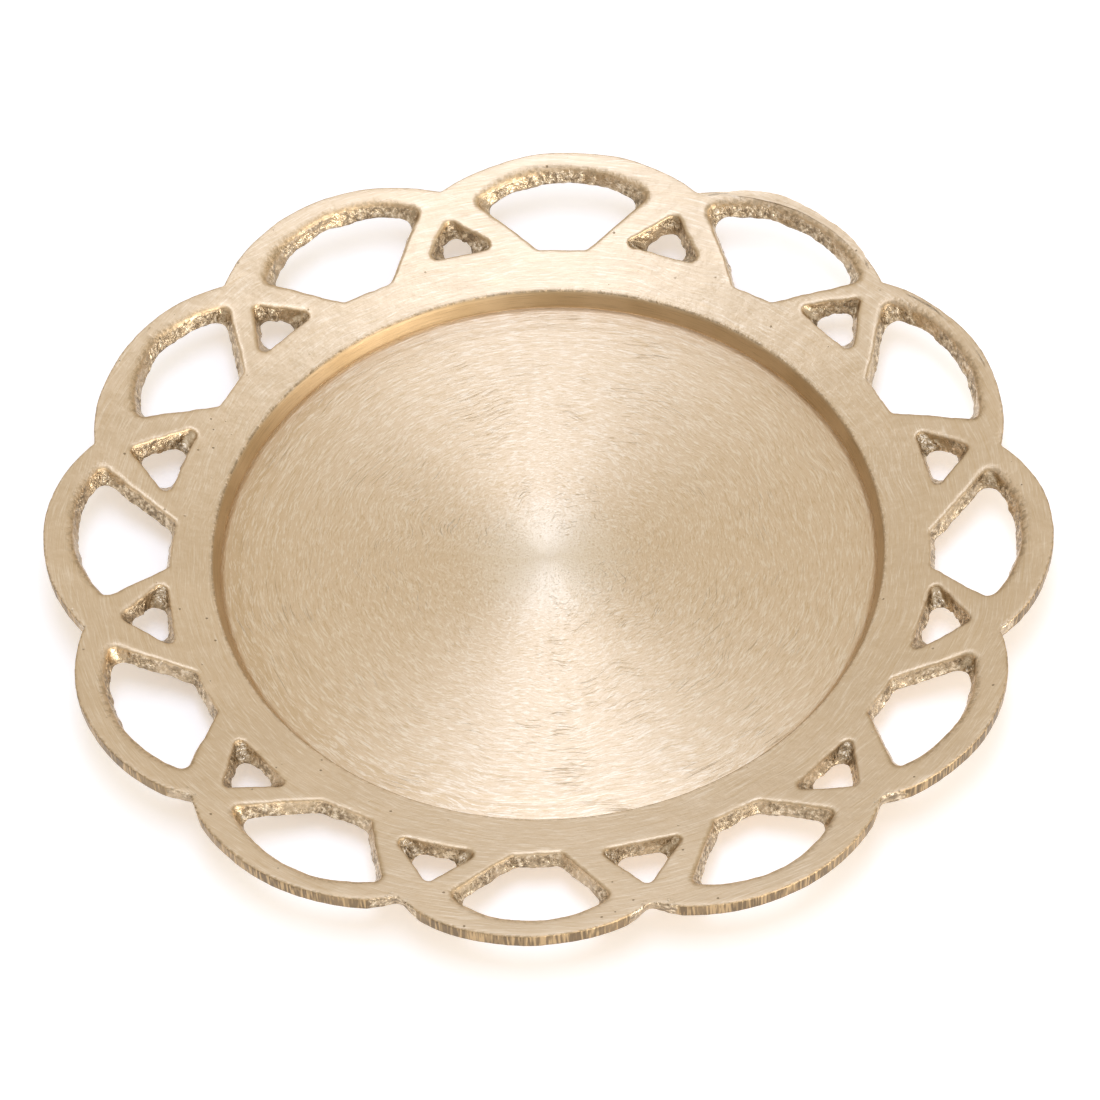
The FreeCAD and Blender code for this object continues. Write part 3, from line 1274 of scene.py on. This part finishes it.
@dataclass
class OpenworkRim:
    """The ring, its struts and its arches as one skin, with the well's wall.

    Each burr row is how far out from the well and up from the top edge it lies,
    in mm, with None for up where it lies on the sloping face, and its mask.
    """

    plan: RimPlan = field(default_factory=RimPlan)
    lip: HoleLip = field(default_factory=HoleLip)
    wall: HoleWall = field(default_factory=HoleWall)
    edge: OuterEdge = field(default_factory=OuterEdge)
    face: FaceMesh = field(default_factory=FaceMesh)
    collar: float = 0.35
    circle_points: int = 720
    burr: Tuple[Tuple[float, Optional[float], float], ...] = (
        (0.7, None, 0.0), (0.34, None, 0.3), (0.16, -0.02, 1.0), (0.0, -0.16, 1.0))
    burr_wear: float = 0.6
    base_cove: float = 0.12
    root_drop: float = 0.1
    root_rise: float = 0.02
    wall_rows: Tuple[float, ...] = (0.15, 0.3, 0.5, 0.7, 0.85, 1.0)

    def build(self, rim: RimFinish, wall: WallFinish, under: UndersideFinish) -> bpy.types.Object:
        """Build the rim.

        Args:
            rim: Finish of the top, holes and outer edge.
            wall: Finish of the well's wall.
            under: Finish of the underside.

        Returns:
            The piece.
        """
        skin = Skin()
        pairs = []
        for k in range(SCALLOPS):
            pairs.append(self._hole(skin, self.plan.large_hole(HANDS[k]), k * SECTOR))
            pairs.append(self._hole(skin, self.plan.triangle(JOINTS[k]), (k + 0.5) * SECTOR))
        pairs.append(self._outer(skin))
        foot, top = self._well(skin)
        pairs.append((top, self._base(skin, foot)))
        self._cap(skin, [upper for upper, _ in pairs], True)
        self._cap(skin, [lower for _, lower in pairs], False)
        return skin.build("openwork_rim", [rim.material(), wall.material(), under.material()])

    def _hole(self, skin: Skin, hole: Hole, angle: float) -> Tuple[np.ndarray, np.ndarray]:
        """Worn lip and cast wall of one hole.

        Args:
            skin: Where the points go.
            hole: Its outline, on +Y.
            angle: Where it is turned to.

        Returns:
            Indices of its top and bottom loops.
        """
        plan, lip, wall = self.plan, self.lip, self.wall
        outline = hole.loop(lip.inset)
        inward = turned(normals_of(outline), angle)
        base = turned(outline, angle)
        flat = np.column_stack([base, np.zeros(len(base))])
        slow = uneven(flat, *lip.drift)
        soft = np.clip((outline[:, 1] - lip.soft_from) / lip.soft_over, 0.0, 1.0)
        soft = soft * (len(hole.sides) == 4) * (lip.soft_mean + uneven(flat, lip.soft_drift))
        width = lip.width + lip.soft_width * soft + uneven(flat, lip.width_drift)
        depth = lip.depth + lip.soft_depth * soft
        start = base + inward * (slow - width - self.collar)[:, None]
        loops = [skin.add(plan.below(start, 0.0))]
        bend = lip.half_turns * math.pi
        for i in range(lip.rows + 1):
            u = i / lip.rows
            drop = depth * (1.0 - math.cos(bend * u))
            shift = slow + width * (math.sin(bend * u) / math.sin(bend) - 1.0)
            worn = (lip.wear + lip.soft_wear * soft) * lip.wear_peak * u * u * (1.0 - u)
            loops.append(skin.add(plan.below(base + inward * shift[:, None], drop),
                                  cast=lip.cast * u ** 2, worn=worn))
        under_lip, ragged = drop, uneven(flat, *wall.ragged)
        for i in range(1, wall.rows + 2):
            u = min(1.0, i / wall.rows)
            full = min(1.0, u * wall.onset)
            inset = lip.inset + (plan.draft - lip.inset) * u
            drop = under_lip + (plan.thickness - wall.foot - under_lip) * u
            if i > wall.rows:
                inset, drop = inset - wall.foot_break, plan.thickness
            loop = turned(hole.loop(inset, wall.rounder * u), angle)
            rough = uneven(plan.below(loop, drop), *wall.rough)
            loop = loop + inward * (slow + rough * full + ragged * u ** 2)[:, None]
            loops.append(skin.add(plan.below(loop, drop),
                                  cast=lip.cast + (1.0 - lip.cast) * full, deep=u))
        for high, low in zip(loops, loops[1:]):
            skin.band(high, low, Slot.RIM.value)
        return loops[0], loops[-1]

    def _outer(self, skin: Skin) -> Tuple[np.ndarray, np.ndarray]:
        """Skirt of the outer edge, grooved at the notches.

        Args:
            skin: Where the points go.

        Returns:
            Indices of its top and bottom loops.
        """
        plan, edge = self.plan, self.edge
        base, groove = plan.outline()
        inward = normals_of(base)
        flat = np.column_stack([base, np.zeros(len(base))])
        slow = uneven(flat, *edge.drift)
        loops = []
        for inset, drop, filed, deep in edge.levels(plan.thickness, self.collar):
            depth = min(1.0, drop / plan.thickness)
            cut = groove * (edge.cut_at_top + (1.0 - edge.cut_at_top) * depth)
            amount, scale, seed = edge.cut_drift
            cut = cut + groove * amount * wander(flat, scale, seed + drop)
            loop = base + inward * (inset + slow + cut)[:, None]
            ripple = uneven(plan.below(loop, drop) * np.array(edge.upright), edge.ripple) * filed
            loop = loop + inward * ripple[:, None]
            cast = np.clip(groove * edge.groove_cast, 0.0, 1.0)
            cast = cast * min(1.0, edge.cast_at_top + filed)
            loops.append(skin.add(plan.below(loop, drop), cast=cast, filed=filed,
                                  deep=deep * cast, worn=4.0 * filed * (1.0 - filed)))
        for high, low in zip(loops, loops[1:]):
            skin.band(low, high, Slot.RIM.value)
        return loops[0], loops[-1]

    def _ring(self, skin: Skin, radius: float, z: float, **masks: float) -> np.ndarray:
        """One circle of points."""
        loop = sweep(np.zeros(2), radius, 0.0, TURN, self.circle_points)
        return skin.add(np.column_stack([loop, np.full(len(loop), z)]), **masks)

    def _well(self, skin: Skin) -> Tuple[np.ndarray, np.ndarray]:
        """Wall of the well, with the burr that the tool left at its top.

        Args:
            skin: Where the points go.

        Returns:
            Indices of its bottom and top loops.
        """
        plan = self.plan
        top = plan.floor + plan.well_depth
        profile = [(plan.well_radius + out, top + (plan.slope * out if rise is None else rise), w)
                   for out, rise, w in self.burr]
        for u in self.wall_rows:
            r = plan.well_radius + (plan.well_foot - plan.well_radius) * u
            profile.append((r, top - plan.well_depth * u, 0.0))
        loops = [self._ring(skin, r, z, worn=self.burr_wear * w, burr=w) for r, z, w in profile]
        for i, (high, low) in enumerate(zip(loops, loops[1:])):
            skin.band(high, low, (Slot.RIM if i < len(self.burr) - 1 else Slot.WALL).value)
        return loops[-1], loops[0]

    def _base(self, skin: Skin, well_foot: np.ndarray) -> np.ndarray:
        """Base wall under the ring, closed on the inside.

        Args:
            skin: Where the points go.
            well_foot: Indices of the bottom loop of the well's wall.

        Returns:
            Indices of the loop where it meets the rim's underside.
        """
        plan = self.plan
        under = plan.floor + plan.well_depth + plan.slope * (plan.base_radius - plan.well_radius)
        under -= plan.thickness
        outer, edge, cove = plan.base_radius, plan.base_break, self.base_cove
        profile = [(plan.well_foot, 0.0), (outer - edge, 0.0), (outer - cove, cove),
                   (outer, edge), (outer, under - self.root_drop),
                   (outer + cove, under + self.root_rise)]
        loops = [self._ring(skin, r, z) for r, z in profile]
        for low, high in zip([well_foot] + loops, loops):
            skin.band(low, high, Slot.UNDER.value)
        return loops[-1]

    def _cap(self, skin: Skin, loops: List[np.ndarray], upper: bool) -> None:
        """Fill the top or the underside between its loops.

        Args:
            skin: Where the faces go.
            loops: The holes, then the outer loop, then the inner circle.
            upper: True for the top.
        """
        plan, face = self.plan, self.face
        places = np.concatenate(skin.points)
        edges, owners = [], []
        for loop in loops:
            first, n = len(owners), len(loop)
            owners.extend(loop.tolist())
            edges.extend((first + i, first + (i + 1) % n) for i in range(n))
        outlines = [places[loop, :2] for loop in loops]
        border = np.concatenate(outlines)
        seeds = self._seeds(outlines, border)
        points = [Vector(p) for p in np.concatenate([border, seeds]).tolist()]
        made, _, faces, origin, _, _ = delaunay_2d_cdt(points, edges, [], 0, face.merge)
        fresh = np.array([[p.x, p.y] for p in made])
        body = plan.below(fresh, 0.0 if upper else plan.thickness)
        body[:, 2] += uneven(body, face.top_drift if upper else face.back_drift)
        index = np.full(len(fresh), -1)
        for i, sources in enumerate(origin):
            if sources and sources[0] < len(owners):
                index[i] = owners[sources[0]]
        loose = np.nonzero(index < 0)[0]
        index[loose] = skin.add(body[loose], cast=0.0 if upper else face.back_cast)
        tri = np.array([f for f in faces if len(f) == 3])
        tri = tri[self._metal(outlines, fresh[tri].mean(1))]
        a, b, c = (fresh[tri[:, i]] for i in range(3))
        (bx, by), (cx, cy) = (b - a).T, (c - a).T
        area = bx * cy - by * cx
        flip = (area < 0) if upper else (area > 0)
        tri[flip] = tri[flip][:, ::-1]
        skin.fill(index[tri].tolist(), (Slot.RIM if upper else Slot.UNDER).value)

    def _seeds(self, outlines: List[np.ndarray], border: np.ndarray) -> np.ndarray:
        """Points scattered over the metal, clear of its edges.

        Args:
            outlines: The holes, then the outer loop, then the inner circle.
            border: All their points.

        Returns:
            The points.
        """
        face = self.face
        reach = self.plan.tray_radius + face.margin
        gx, gy = np.meshgrid(*[np.arange(-reach, reach, face.grid)] * 2)
        seeds = np.column_stack([gx.ravel(), gy.ravel()])
        rng = np.random.default_rng(face.seed)
        seeds += rng.uniform(-face.jitter, face.jitter, seeds.shape) * face.grid
        seeds = seeds[self._metal(outlines, seeds)]
        return seeds[self._clear(seeds, border, face.clear)]

    @staticmethod
    def _metal(outlines: List[np.ndarray], points: np.ndarray) -> np.ndarray:
        """Which points lie on metal: inside the outer loop and in no hole.

        Args:
            outlines: The holes, then the outer loop, then the inner circle.
            points: Places in plan.

        Returns:
            True for each point on metal.
        """
        *holes, outer, inner = outlines
        good = inside(outer, points)
        for outline in [inner] + holes:
            good &= ~inside(outline, points)
        return good

    @staticmethod
    def _clear(points: np.ndarray, border: np.ndarray, gap: float) -> np.ndarray:
        """Which points are at least a gap away from every border point.

        Args:
            points: Places in plan.
            border: Points to keep away from.
            gap: How far.

        Returns:
            True for each clear point.
        """
        cells: Dict[Tuple[int, int], List[int]] = {}
        for i, (x, y) in enumerate(border):
            cells.setdefault((int(x // gap), int(y // gap)), []).append(i)
        good = np.ones(len(points), bool)
        for i, (x, y) in enumerate(points):
            cx, cy = int(x // gap), int(y // gap)
            near = [j for dx in (-1, 0, 1) for dy in (-1, 0, 1)
                    for j in cells.get((cx + dx, cy + dy), ())]
            if near and np.min(np.sum((border[near] - (x, y)) ** 2, 1)) < gap * gap:
                good[i] = False
        return good


@dataclass
class TurnedFloor:
    """The turned floor of the well, cut a little deeper near the wall."""

    TOP = 0
    BACK = 1
    radius: float = 46.05
    thickness: float = 2.0
    hub: float = 0.6
    rings: int = 60
    count: int = 360
    cove: float = 0.14
    cove_from: float = 39.0
    cove_over: float = 7.0

    def _circle(self, skin: Skin, radius: float, upper: bool) -> np.ndarray:
        """One circle of points on the top or the underside.

        Args:
            skin: Where the points go.
            radius: The circle's radius.
            upper: True for the top.

        Returns:
            Their indices.
        """
        sunk = self.cove * max(0.0, (radius - self.cove_from) / self.cove_over) ** 2
        height = self.thickness - sunk if upper else 0.0
        ring = sweep(np.zeros(2), radius, 0.0, TURN, self.count)
        return skin.add(np.column_stack([ring, np.full(self.count, height)]))

    def _face(self, skin: Skin, upper: bool) -> np.ndarray:
        """The top or the underside.

        Args:
            skin: Where the points go.
            upper: True for the top.

        Returns:
            Indices of its outermost circle.
        """
        slot = self.TOP if upper else self.BACK
        middle = skin.add(np.array([[0.0, 0.0, self.thickness if upper else 0.0]]))[0]
        loops = [self._circle(skin, self.hub + (self.radius - self.hub) * i / self.rings, upper)
                 for i in range(self.rings + 1)]
        first = loops[0].tolist()
        skin.fill([(middle, a, b) if upper else (middle, b, a)
                   for a, b in zip(first, first[1:] + first[:1])], slot)
        for inner, outer in zip(loops, loops[1:]):
            skin.band(*((outer, inner) if upper else (inner, outer)), slot)
        return loops[-1]

    def build(self, finish: TurnedFinish, under: UndersideFinish) -> bpy.types.Object:
        """Build the floor as a closed disc.

        Args:
            finish: The turned top.
            under: The underside.

        Returns:
            The piece.
        """
        skin = Skin()
        top = self._face(skin, True)
        skin.band(self._face(skin, False), top, self.BACK)
        return skin.build("turned_well_floor", [finish.material(), under.material()])


# ---- studio ----------------------------------------------------------------
@dataclass(frozen=True)
class SoftBox:
    """A soft light aimed at the tray: place and size in mm, power in watts."""

    name: str
    place: Tuple[float, float, float]
    size: XY
    power: float
    colour: RGB

    def build(self) -> None:
        """Add the light."""
        data = bpy.data.lights.new(self.name, "AREA")
        data.shape = "RECTANGLE"
        data.size, data.size_y = self.size[0] * MM, self.size[1] * MM
        data.energy = self.power
        data.color = self.colour
        lamp = bpy.data.objects.new(self.name, data)
        lamp.location = Vector(self.place) * MM
        lamp.rotation_euler = (-lamp.location).to_track_quat("-Z", "Y").to_euler()
        bpy.context.scene.collection.objects.link(lamp)


@dataclass
class Studio:
    """Pale floor, a long cool box overhead, a warmer one low on the right, and the camera."""

    key: SoftBox = SoftBox("key_box", (-4.0, 85.0, 900.0), (400.0, 760.0), 3.20,
                           (0.54, 0.67, 1.0))
    side: SoftBox = SoftBox("side_box", (650.0, -585.0, 90.0), (620.0, 170.0), 5.4,
                            (1.0, 0.97, 0.93))
    floor_half: float = 1500.0
    floor_height: float = -0.01
    surroundings: RGB = (1.0, 0.955, 0.90)
    shade: RGB = (0.10, 0.09, 0.08)
    glow: float = 0.80
    focal_px: float = 6935.0
    frame_px: float = 1100.0
    sensor_mm: float = 36.0
    distance: float = 970.0
    elevation: float = 51.67
    azimuth: float = 4.25
    roll: float = -3.20
    target: Tuple[float, float, float] = (0.26, -0.57, 4.4)

    def build(self) -> None:
        """Set up the floor, the lights, the world and the camera."""
        self._floor()
        self.key.build()
        self.side.build()
        self._world()
        self._camera()

    def _floor(self) -> None:
        """Pale floor under the tray."""
        skin = Skin()
        s, z = self.floor_half, self.floor_height
        index = skin.add(np.array([[-s, -s, z], [s, -s, z], [s, s, z], [-s, s, z]]))
        skin.fill([index.tolist()], 0)
        skin.build("pale_floor", [TableFinish().material()])

    def _world(self) -> None:
        """Soft warm-white surroundings, darker low down and on the left."""
        world = bpy.data.worlds.new("studio")
        world.use_nodes = True
        g = Graph(world.node_tree)
        x, _, z = g.direction()
        low, left = z.ramp(0.42, 0.02), x.ramp(0.35, -0.45)
        tone = g.mix(low * (left * 0.66 + 0.34), self.surroundings, self.shade)
        back = g.node("ShaderNodeBackground", None, {"Color": tone, "Strength": self.glow})
        g.node("ShaderNodeOutputWorld", None, {"Surface": back.outputs[0]})
        bpy.context.scene.world = world
        bpy.context.scene.view_settings.view_transform = "Standard"

    def _camera(self) -> None:
        """Camera at the viewing angle."""
        e, r, a = (math.radians(v) for v in (self.elevation, self.roll, self.azimuth))
        spin = Matrix.Rotation(a, 3, "Z")
        back = Vector((0.0, -math.cos(e), math.sin(e)))
        right = Vector((1.0, 0.0, 0.0))
        up = back.cross(right)
        right_now = math.cos(r) * right + math.sin(r) * up
        up_now = math.cos(r) * up - math.sin(r) * right
        aim = Vector((self.target[0], self.target[1], 0.0))
        place = spin @ (aim + back * self.distance)
        place.z += self.target[2]
        columns = [spin @ right_now, spin @ up_now, spin @ back]
        matrix = Matrix([[c[i] for c in columns] for i in range(3)]).to_4x4()
        matrix.translation = place * MM
        data = bpy.data.cameras.new("camera")
        data.sensor_width = self.sensor_mm
        data.lens = data.sensor_width * self.focal_px / self.frame_px
        data.clip_start, data.clip_end = 0.01, 20.0
        camera = bpy.data.objects.new("camera", data)
        camera.matrix_world = matrix
        bpy.context.scene.collection.objects.link(camera)
        bpy.context.scene.camera = camera


def settle(piece: bpy.types.Object, nodes: Sequence[str]) -> None:
    """Tie a piece to the tray and to the solids that it stands for.

    Args:
        piece: The visible piece.
        nodes: The solids.
    """
    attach(piece, "root")
    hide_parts(*nodes)
    LOG.info("%s: %d points, %d faces, for %d nodes", piece.name,
             len(piece.data.vertices), len(piece.data.polygons), len(nodes))


def main() -> None:
    """Build the tray and the studio."""
    logging.basicConfig(level=logging.INFO, format="%(name)s: %(message)s")
    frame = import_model()
    under = UndersideFinish()
    floor = TurnedFloor().build(TurnedFinish(), under)
    settle(floor, ["well_floor"])
    rim = OpenworkRim().build(RimFinish(), WallFinish(), under)
    settle(rim, sorted(n for n in frame["nodes"] if n != "well_floor"))
    Studio().build()


if __name__ == "__main__":
    main()
